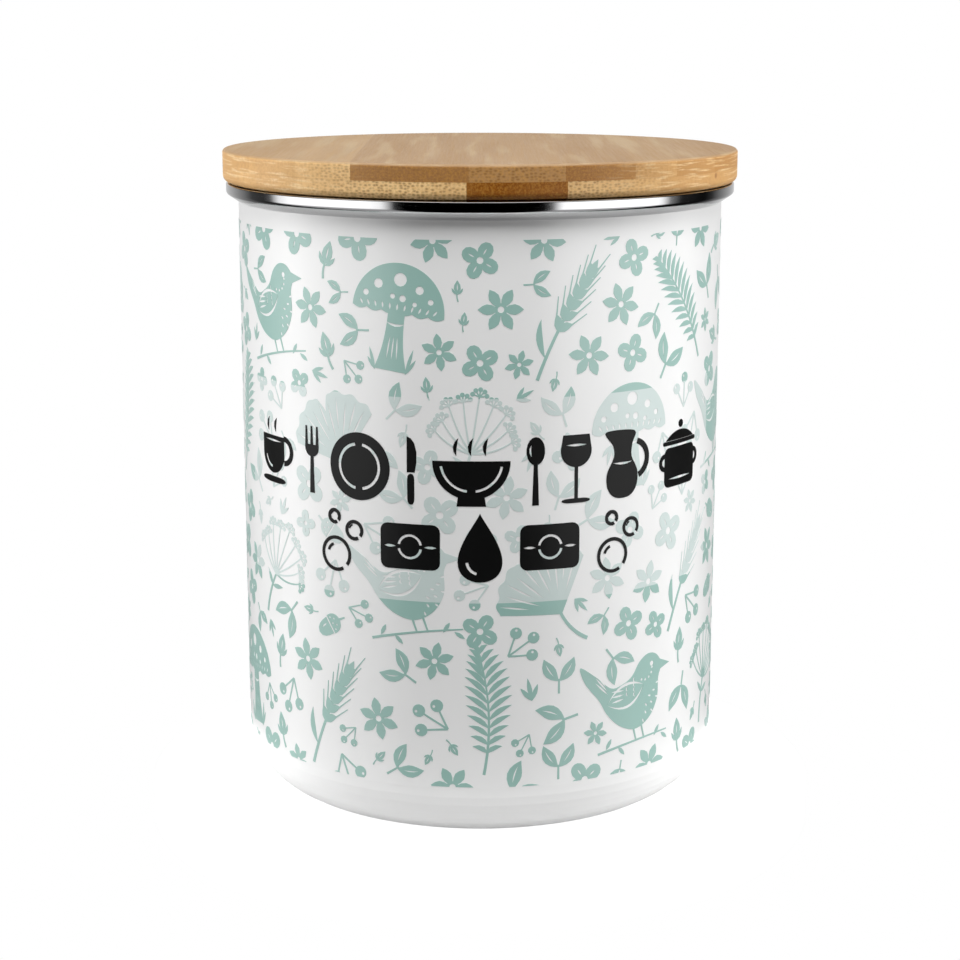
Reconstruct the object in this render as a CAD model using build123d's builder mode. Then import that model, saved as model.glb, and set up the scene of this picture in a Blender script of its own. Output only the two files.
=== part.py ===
from build123d import *

import os
from math import atan2, cos, degrees, radians, sin

# A lidded kitchen tin: a deep-drawn enamelled steel can with a printed wall, a stainless band
# clinched round its flared lip, and a turned bamboo lid whose plug carries a silicone seal.
# Millimetres, Z up, origin under the middle of the can on the surface that it stands on.
# The front of the print looks towards -Y.

# Can
body_d = 120.0  # outside of the straight wall
body_wall = 0.8  # steel sheet with enamel on both faces
can_h = 152.8  # from the ground to the top of the stainless band
corner_r = 14.5  # outside radius of the drawn corner at the foot
foot_ring = 5.0  # width of the flat ring that the can stands on
base_rise = 1.2  # how far the middle of the base is dished up
base_slope = 3.0  # width of the slope between the foot ring and the dished middle

# Stainless band, clinched over the can's flared lip
rim_overhang = 3.0  # how far the band stands out from the can's wall
rim_sheet = 0.4
rim_face_h = 2.6  # height of the band from the foot of its upright face to its top
rim_flare_h = 1.8  # height of the slope from the can's wall out to that face
rim_round = 1.0  # outside bend at the foot of the band's upright face
rim_top_round = 0.4  # outside bend where the band turns in over the lip
rim_leg_gap = 0.2  # between the foot of the band's inner leg and the flare inside the lip

# Lid board with its plug, turned from laminated bamboo
board_overhang = 0.7  # how far the board stands out past the band
board_t = 7.9
board_top_round = 0.8
board_under_round = 1.6
lid_gap = 0.3  # between the board and the top of the band
plug_h = 13.0
plug_clearance = 3.0  # between the plug and the can's wall
plug_chamfer = 1.0
groove_d = 2.0  # depth of the seal's groove in the plug
groove_h = 5.0
groove_foot = 3.0  # bamboo left under the groove

# Silicone seal
seal_clearance = 0.3  # between the tips of the seal's lips and the can's wall
lip_t = 0.8
lip_count = 2
lip_rise = 1.0  # how much higher each lip ends than it starts

# Printed decoration on the wall: motifs in staggered rows, paler inside the front panel
print_t = 0.12
print_rise = 0.5  # plain enamel between the foot's round corner and the print
print_drop = 4.8  # plain enamel between the print and the band's flare
repeats = 2  # how often the pattern comes round
motif_size = 31.0
filler_size = 9.0
max_lean = 34.0  # how far a plant may lean to either side
max_upright_lean = 9.0  # the same for what stands on the ground
max_push = 2.5  # how far a motif may be pushed off its place in the row
stalk_w = 0.7
panel_drop = 36.0  # from the top of the print down to the front panel
panel_h = 48.0
panel_half_angle = 67.0  # how far the front panel reaches round to each side

body_r = body_d / 2
bore_r = body_r - body_wall
rim_r = body_r + rim_overhang
lip_r = rim_r - rim_sheet  # outside of the can's upright lip, inside the band
lip_top = can_h - rim_sheet
lip_foot = can_h - rim_face_h + rim_sheet
flare_foot = lip_foot - rim_flare_h
board_low = can_h + lid_gap
board_r = rim_r + board_overhang
plug_r = bore_r - plug_clearance
groove_low = board_low - plug_h + groove_foot
print_low = corner_r + print_rise
print_high = flare_foot - print_drop
panel_high = print_high - panel_drop

os.makedirs("parts", exist_ok=True)


def finish(builder, name):
    """Name a finished piece and write it."""
    builder.part.label = name
    export_step(builder.part, f"parts/{name}.step")
    print(name, len(builder.part.solids()), round(builder.part.volume, 1))


# Can: one line down the outside of the sheet, thickened inwards and turned about the axis
with BuildPart() as canister_body:
    with BuildSketch(Plane.XZ):
        with BuildLine():
            foot_r = body_r - corner_r
            dish_r = foot_r - foot_ring
            middle = Line((0, base_rise), (dish_r - base_slope, base_rise))
            slope = Line(middle @ 1, (dish_r, 0))
            ring = Line(slope @ 1, (foot_r, 0))
            corner = JernArc(ring @ 1, ring % 1, corner_r, 90)
            wall = Line(corner @ 1, (body_r, flare_foot))
            Polyline(wall @ 1, (lip_r, lip_foot), (lip_r, lip_top))
            offset(amount=body_wall, side=Side.LEFT)
        make_face()
    revolve(axis=Axis.Z)
finish(canister_body, "canister_body")

# Band: one sheet's thickness outside the lip, from the can's wall out under the flare, up the
# face, over the top of the lip and down inside it
with BuildPart() as rim_band:
    slant = atan2(rim_flare_h, lip_r - body_r)
    hem_foot = flare_foot - rim_sheet / cos(slant)
    miter = (1 - sin(slant)) / cos(slant)
    face_foot = lip_foot - rim_sheet * miter
    inner_r = lip_r - body_wall
    leg_foot = lip_foot + body_wall * miter + rim_leg_gap
    with BuildSketch(Plane.XZ):
        with BuildLine():
            Polyline(
                (body_r, hem_foot),
                (rim_r, face_foot),
                (rim_r, can_h),
                (inner_r - rim_sheet, can_h),
                (inner_r - rim_sheet, leg_foot),
                (inner_r, leg_foot),
                (inner_r, lip_top),
                (lip_r, lip_top),
                (lip_r, lip_foot),
                (body_r, flare_foot),
                close=True,
            )
        make_face()
        bends = vertices().group_by(Axis.X)[-1].sort_by(Axis.Y)
        fillet(bends[0], rim_round)
        fillet(bends[-1], rim_top_round)
    revolve(axis=Axis.Z)
finish(rim_band, "rim_band")

# Lid: board, plug and groove are one turned piece
with BuildPart() as bamboo_lid:
    with BuildSketch(Plane.XY.offset(board_low)):
        Circle(board_r)
    extrude(amount=board_t)
    board_rims = bamboo_lid.edges().filter_by(GeomType.CIRCLE).sort_by(Axis.Z)
    fillet(board_rims[-1], board_top_round)
    fillet(board_rims[0], board_under_round)
    with BuildSketch(Plane.XY.offset(board_low)):
        Circle(plug_r)
    extrude(amount=-plug_h)
    chamfer(bamboo_lid.edges().filter_by(GeomType.CIRCLE).sort_by(Axis.Z)[0], plug_chamfer)
    with BuildSketch(Plane.XY.offset(groove_low)):
        Circle(plug_r)
        Circle(plug_r - groove_d, mode=Mode.SUBTRACT)
    extrude(amount=groove_h, mode=Mode.SUBTRACT)
finish(bamboo_lid, "bamboo_lid")

# Seal: a band that fills the groove, with thin lips that lean up towards the can's wall
with BuildPart() as lid_seal:
    tip_r = bore_r - seal_clearance
    lip_pitch = groove_h / lip_count
    with BuildSketch(Plane.XZ):
        with Locations((plug_r - groove_d, groove_low)):
            Rectangle(groove_d, groove_h, align=Align.MIN)
        for lip in range(lip_count):
            root_low = groove_low + (lip + 0.5) * lip_pitch - lip_t / 2 - lip_rise / 2
            with BuildLine():
                Polyline(
                    (plug_r - groove_d / 2, root_low),
                    (plug_r, root_low),
                    (tip_r, root_low + lip_rise),
                    (tip_r, root_low + lip_rise + lip_t / 2),
                    (plug_r, root_low + lip_t),
                    (plug_r - groove_d / 2, root_low + lip_t),
                    close=True,
                )
            make_face()
    revolve(axis=Axis.Z)
finish(lid_seal, "lid_seal")


# Motifs of the print as plain silhouettes, each drawn about its own middle, upright, m high


def blade(foot, length, width):
    """A pointed leaf that stands on foot, bounded by two arcs."""
    with BuildLine() as outline:
        left = ThreePointArc((0, foot), (-width / 2, foot + length / 2), (0, foot + length))
        ThreePointArc(left @ 1, (width / 2, foot + length / 2), (0, foot))
    make_face(outline.edges())


def stalk(foot, top):
    """A thin upright stem."""
    with Locations((0, foot)):
        Rectangle(stalk_w, top - foot, align=(Align.CENTER, Align.MIN))


def fern(m):
    """A frond that tapers to both ends."""
    blade(-0.5 * m, m, 0.4 * m)


def grain_ear(m):
    """An ear of grain on a stem."""
    blade(-0.1 * m, 0.6 * m, 0.26 * m)
    stalk(-0.5 * m, 0)


def fan(m, spread, notch):
    """A fan on a short stem: spread runs up its right edge, notch is the middle of its top."""
    half = stalk_w / 2
    right = [(half, -0.45 * m), (half, -0.12 * m)] + [(x * m, y * m) for x, y in spread]
    left = [(-x, y) for x, y in reversed(right)]
    Polygon(*right, (0, notch * m), *left, align=None)


def fan_leaf(m):
    """A fan-shaped leaf, notched at the top."""
    fan(m, [(0.42, 0.14), (0.34, 0.34), (0.12, 0.4)], 0.24)


def seed_head(m):
    """A spreading head of seeds."""
    fan(m, [(0.4, 0.1), (0.26, 0.36)], 0.44)


def toadstool(m):
    """A round-topped cap on a stem that widens at its foot."""
    foot = [(-0.07 * m, 0), (-0.12 * m, -0.42 * m), (0.12 * m, -0.42 * m), (0.07 * m, 0)]
    with BuildLine() as outline:
        cap = ThreePointArc((0.36 * m, 0), (0, 0.36 * m), (-0.36 * m, 0))
        Polyline(cap @ 1, *foot, cap @ 0)
    make_face(outline.edges())


def songbird(m):
    """A plump bird side on, with a raised tail and a small beak."""
    beak = [(0.46 * m, 0.18 * m), (0.3 * m, 0.25 * m)]
    crown = [(0.22 * m, 0.33 * m), (0.1 * m, 0.3 * m), (0.04 * m, 0.16 * m)]
    tail = [(-0.2 * m, 0.12 * m), (-0.5 * m, 0.36 * m), (-0.46 * m, 0.14 * m)]
    with BuildLine() as outline:
        belly = ThreePointArc((-0.32 * m, 0.08 * m), (0, -0.3 * m), (0.32 * m, 0.1 * m))
        Polyline(belly @ 1, *beak, *crown, *tail, belly @ 0)
    make_face(outline.edges())


def leaf_pair(m):
    """Two small leaves that part from one root."""
    Polygon((0, -0.5 * m), (0.42 * m, 0.46 * m), (0, 0), (-0.42 * m, 0.46 * m), align=None)


def bud(m):
    """A small four-cornered bud."""
    Polygon((0, -0.5 * m), (0.26 * m, 0), (0, 0.5 * m), (-0.26 * m, 0), align=None)


# The print's rows from the lowest up, across one repeat
layout = (
    (fern, songbird, seed_head, toadstool, grain_ear),
    (fan_leaf, grain_ear, fern, seed_head, songbird),
    (seed_head, toadstool, songbird, fern, fan_leaf),
    (grain_ear, fern, fan_leaf, songbird, toadstool),
)
uprights = (songbird, toadstool)
fillers = (bud, leaf_pair)


def wall_plane(turn, height, lean):
    """The plane that a motif is drawn on: just inside the wall, facing out, leaning as given."""
    outward = Vector(sin(radians(turn)), -cos(radians(turn)), 0)
    sideways = Vector(cos(radians(turn)), sin(radians(turn)), 0)
    origin = outward * (body_r - motif_sink) + Vector(0, 0, height)
    return Plane(origin, x_dir=sideways.rotate(Axis((0, 0, 0), outward), lean), z_dir=outward)


motif_sink = body_r - body_r * cos(motif_size / body_r)  # holds a motif's whole width
row_pitch = (print_high - print_low) / len(layout)
gap_share = 0.33  # a gap's middle lies this share of a row above or below the row's own

# Skin: the thin layer of the print round the whole wall, face to face with the enamel
with BuildPart() as skin:
    with BuildSketch(Plane.XY.offset(print_low)):
        Circle(body_r + print_t)
        Circle(body_r, mode=Mode.SUBTRACT)
    extrude(amount=print_high - print_low)

# One repeat: every motif pushed out through that skin, which cuts it to the wall's own curve.
# Every second row is shifted by half a column, and small motifs fill the three-cornered gaps that
# this leaves between the rows.
with BuildPart() as repeat:
    column_turn = 360 / (repeats * len(layout[0]))
    for row, names in enumerate(layout):
        for column, draw in enumerate(names):
            beat = 2.9 * column + 1.7 * row
            turn = (column + 0.5 * (row % 2)) * column_turn
            height = print_low + (row + 0.5) * row_pitch
            lean = (max_upright_lean if draw in uprights else max_lean) * sin(beat)
            push_turn = degrees(max_push * sin(3 * beat) / body_r)
            push_up = max_push * cos(2 * beat)
            with BuildSketch(wall_plane(turn + push_turn, height + push_up, lean)):
                draw(motif_size)
            for side in (-1, 1):
                if not 0 <= row + side < len(layout):
                    continue
                gap_height = height + side * (row_pitch * gap_share + sin(5 * beat))
                with BuildSketch(wall_plane(turn + column_turn / 2, gap_height, -2 * side * lean)):
                    fillers[(column + side) % len(fillers)](filler_size)
    extrude(amount=motif_sink + print_t * 2)
    add(skin.part, mode=Mode.INTERSECT)

with BuildPart() as pattern:
    with PolarLocations(0, repeats):
        add(repeat.part)

# Front panel: the block that holds the paler part of the print
with BuildPart() as panel:
    half_width = body_r * sin(radians(panel_half_angle))
    with BuildSketch(Plane.XY.offset(panel_high)):
        Rectangle(2 * half_width, rim_r, align=(Align.CENTER, Align.MAX))
    extrude(amount=-panel_h)

with BuildPart() as teal_print:
    add(pattern.part)
    add(panel.part, mode=Mode.SUBTRACT)
finish(teal_print, "teal_print")

with BuildPart() as pale_print:
    add(pattern.part)
    add(panel.part, mode=Mode.INTERSECT)
finish(pale_print, "pale_print")
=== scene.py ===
# %% [markdown]
# A kitchen tin for dishwasher tablets, dressed for its portrait. The construction comes ready made,
# as a frame that nothing here may move: a drawn and enamelled can, a polished band clinched round
# its lip, and a turned bamboo lid with a silicone seal. What is left to make is how it looks. Each
# visible piece is turned again as a fine mesh on the frame's own sizes, the print is cut out as
# thin shapes and wrapped round the wall, and every finish is a small tree of shader nodes.

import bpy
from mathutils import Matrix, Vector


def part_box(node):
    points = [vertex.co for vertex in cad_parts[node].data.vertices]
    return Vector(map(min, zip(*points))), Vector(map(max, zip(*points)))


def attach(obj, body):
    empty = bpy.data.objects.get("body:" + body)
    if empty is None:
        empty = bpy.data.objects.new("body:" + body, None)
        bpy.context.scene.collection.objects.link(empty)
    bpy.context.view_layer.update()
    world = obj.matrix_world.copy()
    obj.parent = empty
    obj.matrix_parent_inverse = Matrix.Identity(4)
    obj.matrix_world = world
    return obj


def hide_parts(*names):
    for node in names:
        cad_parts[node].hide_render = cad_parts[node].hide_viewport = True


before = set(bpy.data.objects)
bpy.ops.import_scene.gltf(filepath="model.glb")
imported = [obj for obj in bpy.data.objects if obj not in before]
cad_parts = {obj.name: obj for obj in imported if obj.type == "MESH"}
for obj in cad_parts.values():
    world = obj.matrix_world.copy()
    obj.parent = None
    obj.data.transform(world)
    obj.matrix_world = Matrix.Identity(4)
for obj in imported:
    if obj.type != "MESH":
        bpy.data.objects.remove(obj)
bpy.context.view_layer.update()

# %% Blender's modules
from math import atan2, cos, pi, radians, sin, tan

import bmesh
import bpy
import numpy as np
from mathutils import Matrix, Vector

mm = 0.001
print("Blender", bpy.app.version_string)

# %% [markdown]
# The frame already knows how wide and how high each piece is, so those sizes are read from it. A
# few smaller ones can't be read off a box, such as the thickness of a sheet or the radius of a
# bend. They are named here, in the same way that a maker would write them on a drawing.

# %% Sizes read from the frame, and the small ones beside them


def reach(node):
    """How far a round piece reaches from the axis, and its lowest and highest point."""
    low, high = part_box(node)
    return high.x, low.z, high.z


lip_r, can_foot, lip_top = reach("canister_body")
band_r, band_foot, band_top = reach("rim_band")
board_r, plug_foot, board_top = reach("bamboo_lid")
seal_r = reach("lid_seal")[0]

sheet = 0.8 * mm  # enamelled steel of the can
band_sheet = 0.4 * mm  # stainless steel of the band
wall_r = band_r - 3.0 * mm  # outside of the can's straight wall
bore_r = wall_r - sheet
board_low = band_top + 0.3 * mm  # underside of the lid board, just above the band
plug_r = bore_r - 3.0 * mm
print("wall radius", round(wall_r, 4), "board", round(board_low, 4), "to", round(board_top, 4))

# %% [markdown]
# All four pieces of this tin are round, so a lathe makes them all: a line of radius and height is
# spun about Z. Real edges are never sharp, and a rounded edge catches a thin light that tells the
# eye what the material is. So each corner of a line carries its own rounding. A bevel modifier
# could round them afterwards, but it knows one width for all corners, and here a bend of 0.4 mm
# sits beside one of 14.5 mm. Two extra rings hold each long straight run flat, because smooth
# shading would otherwise spread the turn of a bend over the whole wall.

# %% Round the corners of a line
ARC_STEPS = 10  # flats across a rounded corner
HOLD = 0.25 * mm  # distance of a holding ring from the end of a straight run


def round_corner(before, corner, after, rounding):
    """Points of the arc that rounds one corner of a line."""
    back = (before - corner).normalized()
    ahead = (after - corner).normalized()
    half = back.angle(ahead) / 2
    centre = corner + (back + ahead).normalized() * rounding / sin(half)
    first = corner + back * rounding / tan(half) - centre
    last = corner + ahead * rounding / tan(half) - centre
    sweep = first.angle_signed(last)
    turns = [Matrix.Rotation(-sweep * step / ARC_STEPS, 2) for step in range(ARC_STEPS + 1)]
    return [centre + turn @ first for turn in turns]


def profile(*corners):
    """A closed line of points from corners given as (radius, height) or (radius, height, rounding)."""
    points = [Vector(corner[:2]) for corner in corners]
    line = []
    for index, corner in enumerate(corners):
        if len(corner) == 2:
            line.append(points[index])
        else:
            following = points[(index + 1) % len(points)]
            line += round_corner(points[index - 1], points[index], following, corner[2])
    held = []
    for start, end in zip(line, line[1:] + line[:1]):
        held.append(start)
        run = end - start
        if run.length > 6 * HOLD:
            step = run.normalized() * HOLD
            held += [start + step, end - step]
    return held


square = profile((0, 0), (3 * mm, 0, 0.5 * mm), (3 * mm, 3 * mm), (0, 3 * mm))
print("a square with one rounded corner has", len(square), "points")

# %% Spin the line
SPOKES = 256  # flats round a turned piece


def turn_on_lathe(name, line, sharp=50):
    """Spin a closed line of (radius, height) points about Z into a solid piece."""
    bm = bmesh.new()
    angles = [2 * pi * spoke / SPOKES for spoke in range(SPOKES)]
    rings = []
    for radius, height in line:
        places = [(radius * cos(a), radius * sin(a), height) for a in angles]
        on_axis = radius < HOLD / 10
        rings.append([bm.verts.new(place) for place in (places[:1] if on_axis else places)])
    for ring, following in zip(rings, rings[1:] + rings[:1]):
        for spoke in range(SPOKES if len(ring) + len(following) > 2 else 0):
            quad = [group[(spoke + side) % len(group)] for group, sides in
                    ((ring, (0, 1)), (following, (1, 0))) for side in sides]
            bm.faces.new(dict.fromkeys(quad))
    bmesh.ops.recalc_face_normals(bm, faces=bm.faces)
    mesh = bpy.data.meshes.new(name)
    bm.to_mesh(mesh)
    bm.free()
    mesh.shade_smooth()
    mesh.set_sharp_from_angle(angle=radians(sharp))
    piece = bpy.data.objects.new(name, mesh)
    bpy.context.scene.collection.objects.link(piece)
    print(name, len(mesh.polygons), "faces")
    return piece


# %% [markdown]
# The can is one sheet drawn into a cup, so its line runs down the outside and back up the inside
# at one sheet's distance. The foot is the part that few people look at: it stands on a narrow ring
# and is dished up in the middle, so that it doesn't rock. At the top the wall flares out into a
# short upright lip, which the band will grip.

# %% The enamelled can
corner_r = 14.5 * mm  # drawn corner between wall and foot, outside
dish_r = wall_r - corner_r - 5.0 * mm  # the foot ring is 5 mm wide
dish_rise = 1.2 * mm
dish_slope = 3.0 * mm
lip_foot = band_top - 2.2 * mm
flare_foot = lip_foot - 1.8 * mm

can_line = profile(
    (0, dish_rise),
    (dish_r - dish_slope, dish_rise, 2.0 * mm),
    (dish_r, can_foot, 1.5 * mm),
    (wall_r, can_foot, corner_r),
    (wall_r, flare_foot, 1.2 * mm),
    (lip_r, lip_foot, 0.6 * mm),
    (lip_r, lip_top, 0.3 * mm),
    (lip_r - sheet, lip_top, 0.3 * mm),
    (lip_r - sheet, lip_foot + 0.3 * mm, 0.6 * mm),
    (bore_r, flare_foot + 0.3 * mm, 1.2 * mm),
    (bore_r, can_foot + sheet, corner_r - sheet),
    (dish_r + 0.2 * mm, can_foot + sheet, 1.5 * mm),
    (dish_r - dish_slope + 0.2 * mm, dish_rise + sheet, 2.0 * mm),
    (0, dish_rise + sheet),
)
can = turn_on_lathe("enamel_can", can_line)
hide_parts("canister_body")
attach(can, "can")

# %% [markdown]
# The band is a ring of thin polished steel, bent tight round the can's lip. Seen from the front it
# is only a few millimetres high, but it holds the strongest contrast in the whole picture, because
# a mirror shows the studio instead of itself. Its upright face, the round bend below it and the
# slope under that bend each mirror another height of the room.

# %% The stainless band
slant = atan2(lip_foot - flare_foot, lip_r - wall_r)
face_foot = lip_foot - band_sheet * (1 - sin(slant)) / cos(slant)
leg_r = lip_r - sheet - band_sheet  # inside of the leg that goes down behind the lip
leg_foot = lip_foot + 0.6 * mm

band_line = profile(
    (wall_r - 0.05 * mm, band_foot),
    (band_r, face_foot, 1.0 * mm),
    (band_r, band_top, 0.4 * mm),
    (leg_r, band_top, 0.4 * mm),
    (leg_r, leg_foot),
    (leg_r + band_sheet, leg_foot),
    (lip_r - sheet, lip_top - 0.01 * mm),
    (lip_r, lip_top - 0.01 * mm),
    (lip_r, lip_foot),
    (wall_r - 0.05 * mm, flare_foot),
)
band = turn_on_lathe("steel_band", band_line)
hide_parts("rim_band")
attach(band, "can")

# %% [markdown]
# The lid is turned from two plies of bamboo glued face to face. Sanding has broken its upper edge
# a little and its lower edge more. Under the board sits a plug that drops into the can, with a
# groove for the seal. It is out of sight while the lid is on, and shows as soon as it is lifted.

# %% The bamboo lid
groove_r = plug_r - 2.0 * mm
groove_low = plug_foot + 3.0 * mm
groove_high = groove_low + 5.0 * mm

lid_line = profile(
    (0, board_top),
    (board_r, board_top, 0.8 * mm),
    (board_r, board_low, 1.6 * mm),
    (plug_r, board_low, 0.3 * mm),
    (plug_r, groove_high, 0.25 * mm),
    (groove_r, groove_high),
    (groove_r, groove_low),
    (plug_r, groove_low, 0.25 * mm),
    (plug_r, plug_foot, 1.0 * mm),
    (0, plug_foot),
)
lid = turn_on_lathe("bamboo_board", lid_line)
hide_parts("bamboo_lid")
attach(lid, "lid")

# %% [markdown]
# The seal is a silicone band that fills the groove. Two thin lips lean up and outwards from it, and
# bend against the inside of the can when the lid is pressed down, which keeps damp air out.

# %% The silicone seal
LIPS = 2
lip_sheet = 0.8 * mm
lip_lean = 1.0 * mm  # how much higher each lip ends than it starts
lip_pitch = (groove_high - groove_low) / LIPS

seal_corners = [(groove_r, groove_low), (plug_r, groove_low, 0.2 * mm)]
for lip in range(LIPS):
    root = groove_low + (lip + 0.5) * lip_pitch - (lip_sheet + lip_lean) / 2
    seal_corners += [
        (plug_r, root, 0.2 * mm),
        (seal_r, root + lip_lean, 0.18 * mm),
        (seal_r, root + lip_lean + lip_sheet / 2, 0.18 * mm),
        (plug_r, root + lip_sheet, 0.2 * mm),
    ]
seal_corners += [(plug_r, groove_high, 0.2 * mm), (groove_r, groove_high)]
seal = turn_on_lathe("silicone_seal", profile(*seal_corners))
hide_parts("lid_seal")
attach(seal, "lid")

# %% [markdown]
# The wall carries a fired print. On the real tin it is a transfer: a flat sheet of shapes, wrapped
# round the wall before the enamel is fired. It could be an image, but an image has a fixed
# sharpness, and a shader can't draw a bird. So the print is made the way that the transfer is made.
# Every shape is first drawn flat, in millimetres, as closed loops of two kinds: ink to print, and
# cuts that stay open. Nearly all loops are one idea, a ribbon that follows a bowed line and gets
# wider and narrower on the way. A stalk, a leaf, a petal and a fish bone differ only in how wide
# the ribbon is along its length.

# %% Places, steps and bowed lines


def at(x, y):
    """A place on the flat sheet."""
    return Vector((x, y))


def toward(heading, length):
    """A step in a direction given in degrees, with 90 straight up."""
    return Vector((cos(radians(heading)), sin(radians(heading)))) * length


def on_bow(start, end, bow, share):
    """The place a share of the way along a line that bows to its left."""
    run = end - start
    return start + run * share + Vector((-run.y, run.x)).normalized() * bow * 4 * share * (1 - share)


halfway = on_bow(at(0, 0), at(10, 0), 2, 0.5)
print("halfway along a bowed line:", round(halfway.x, 2), round(halfway.y, 2))

# %% Ribbons: stems, leaves and drops
FINE = 0.75  # spacing of points along a loop, in millimetres


def ribbon(start, end, width, bow=0.0, steps=0):
    """A band whose width at each share of the way is given by a function. Points crowd at its ends."""
    steps = steps or max(5, round((end - start).length / FINE))
    left, right = [], []
    for step in range(steps + 1):
        share = 0.5 - 0.5 * cos(pi * step / steps)
        here = on_bow(start, end, bow, share)
        along = on_bow(start, end, bow, share + 0.01) - on_bow(start, end, bow, share - 0.01)
        across = Vector((-along.y, along.x)).normalized() * width(share) / 2
        left.append(here + across)
        right.append(here - across)
    return left + right[::-1]


def stalk(start, end, foot_w, tip_w, bow=0.0):
    """A stem that tapers evenly. A straight one needs no points between its ends."""
    return ribbon(start, end, lambda share: foot_w + (tip_w - foot_w) * share, bow, 0 if bow else 1)


def leaf(start, end, width, bow=0.0, belly=1.0):
    """A leaf, pointed at both ends. A belly under 1 is widest near the foot."""
    return ribbon(start, end, lambda share: width * sin(pi * share**belly), bow)


def drop(start, end, width, bow=0.0):
    """A drop: pointed at its start and round at its end."""
    return ribbon(start, end, lambda share: 2 * width * (share**1.3 * (1 - share)) ** 0.5, bow)


print("a leaf 10 mm long has", len(leaf(at(0, 0), at(0, 10), 3)), "points")

# %% Round loops


def disc(centre, radius):
    """A round spot."""
    steps = max(9, round(2 * pi * radius / FINE))
    return [centre + toward(360 * step / steps, radius) for step in range(steps)]


def arc(centre, radius, first, last):
    """Points along part of a circle, between two headings in degrees."""
    steps = max(4, round(abs(radians(last - first)) * radius / FINE))
    return [centre + toward(first + (last - first) * step / steps, radius) for step in range(steps + 1)]


def smooth(knots):
    """A soft closed line through knots."""
    line = []
    for index, here in enumerate(knots):
        before, after = knots[index - 1], knots[(index + 1) % len(knots)]
        beyond = knots[(index + 2) % len(knots)]
        steps = max(3, round((after - here).length / FINE))
        for step in range(steps):
            t = step / steps
            pull = (after - before) * t + (2 * before - 5 * here + 4 * after - beyond) * t**2
            line.append(here + (pull + (3 * here - before - 3 * after + beyond) * t**3) / 2)
    return line


print("a spot 2 mm across has", len(disc(at(0, 0), 1)), "points")

# %% [markdown]
# The motifs are things from the edge of a wood: a fern, an ear of grain, a seed head, a fan-shaped
# leaf, a toadstool and a songbird. Each is drawn about its own middle at a size m, and returns its
# ink and its cuts. The bird and the toadstool are cut through with dots, scallops and slits, as
# folk paper cuts are, so that a large dark shape stays light beside the thin plants.

# %% Fern


def tell(draw, *size):
    """Print how many loops a drawing has."""
    ink, cut = draw(*size)
    print(draw.__name__, "has", len(ink), "loops of ink and", len(cut), "cuts")


def fern(m):
    """A frond with leaflets in pairs, shorter towards both ends."""
    foot, tip, bow, pairs = at(0.03 * m, -0.5 * m), at(-0.02 * m, 0.5 * m), -0.06 * m, 13
    ink = [stalk(foot, tip, 0.022 * m, 0.01 * m, bow)]
    for pair in range(pairs):
        share = 0.17 + 0.78 * pair / (pairs - 1)
        root = on_bow(foot, tip, bow, share)
        length = m * (0.05 + 0.18 * sin(pi * (1 - share) ** 0.8))
        for side in (-1, 1):
            end = root + toward(90 - side * (70 - 34 * share), length)
            ink.append(leaf(root, end, 0.042 * m, side * 0.018 * m, 0.9))
    ink.append(leaf(tip - at(0, 0.08 * m), tip, 0.045 * m))
    return ink, []


tell(fern, 30)

# %% Ear of grain


def grain_ear(m):
    """An ear of grain: fat seeds in pairs, each with a long whisker."""
    foot, tip, bow, pairs = at(0.05 * m, -0.5 * m), at(0, 0.34 * m), 0.03 * m, 6
    ink = [stalk(foot, tip, 0.026 * m, 0.018 * m, bow)]
    for pair in range(pairs):
        root = on_bow(foot, tip, bow, 0.46 + 0.52 * pair / (pairs - 1))
        for side in (-1, 1):
            heading = 90 - side * (38 - 3 * pair)
            seed = root + toward(heading, 0.13 * m)
            ink.append(leaf(root, seed, 0.07 * m, side * 0.012 * m, 0.8))
            whisker = seed + toward(heading + side * 14, 0.13 * m)
            ink.append(stalk(seed - toward(heading, 0.03 * m), whisker, 0.012 * m, 0.007 * m))
    ink.append(leaf(tip - at(0, 0.02 * m), tip + at(0, 0.15 * m), 0.07 * m, 0, 0.8))
    ink.append(leaf(on_bow(foot, tip, bow, 0.2), at(-0.16 * m, -0.1 * m), 0.05 * m, 0.03 * m))
    return ink, []


tell(grain_ear, 30)

# %% Seed head


def seed_head(m):
    """Thin rays from one point, each ending in a small head of seeds."""
    foot, fork, rays = at(0.02 * m, -0.45 * m), at(0, -0.08 * m), 9
    ink = [stalk(foot, fork, 0.028 * m, 0.02 * m, 0.02 * m)]
    for ray in range(rays):
        lean = -66 + 132 * ray / (rays - 1)
        tip = fork + toward(90 - lean, m * (0.36 + 0.07 * cos(radians(2 * lean)) - 0.03 * (ray % 2)))
        ink.append(stalk(fork, tip, 0.016 * m, 0.011 * m, -0.0004 * lean * m))
        for spoke in range(5):
            end = tip + toward(90 - lean + 38 * (spoke - 2), 0.055 * m)
            ink.append(stalk(tip, end, 0.01 * m, 0.01 * m))
            ink.append(disc(end, 0.018 * m))
    for side in (-1, 1):
        ink.append(leaf(fork - at(0, 0.12 * m), at(side * 0.13 * m, -0.12 * m), 0.04 * m, 0, 0.8))
    return ink, []


tell(seed_head, 30)

# %% Fan-shaped leaf


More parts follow.
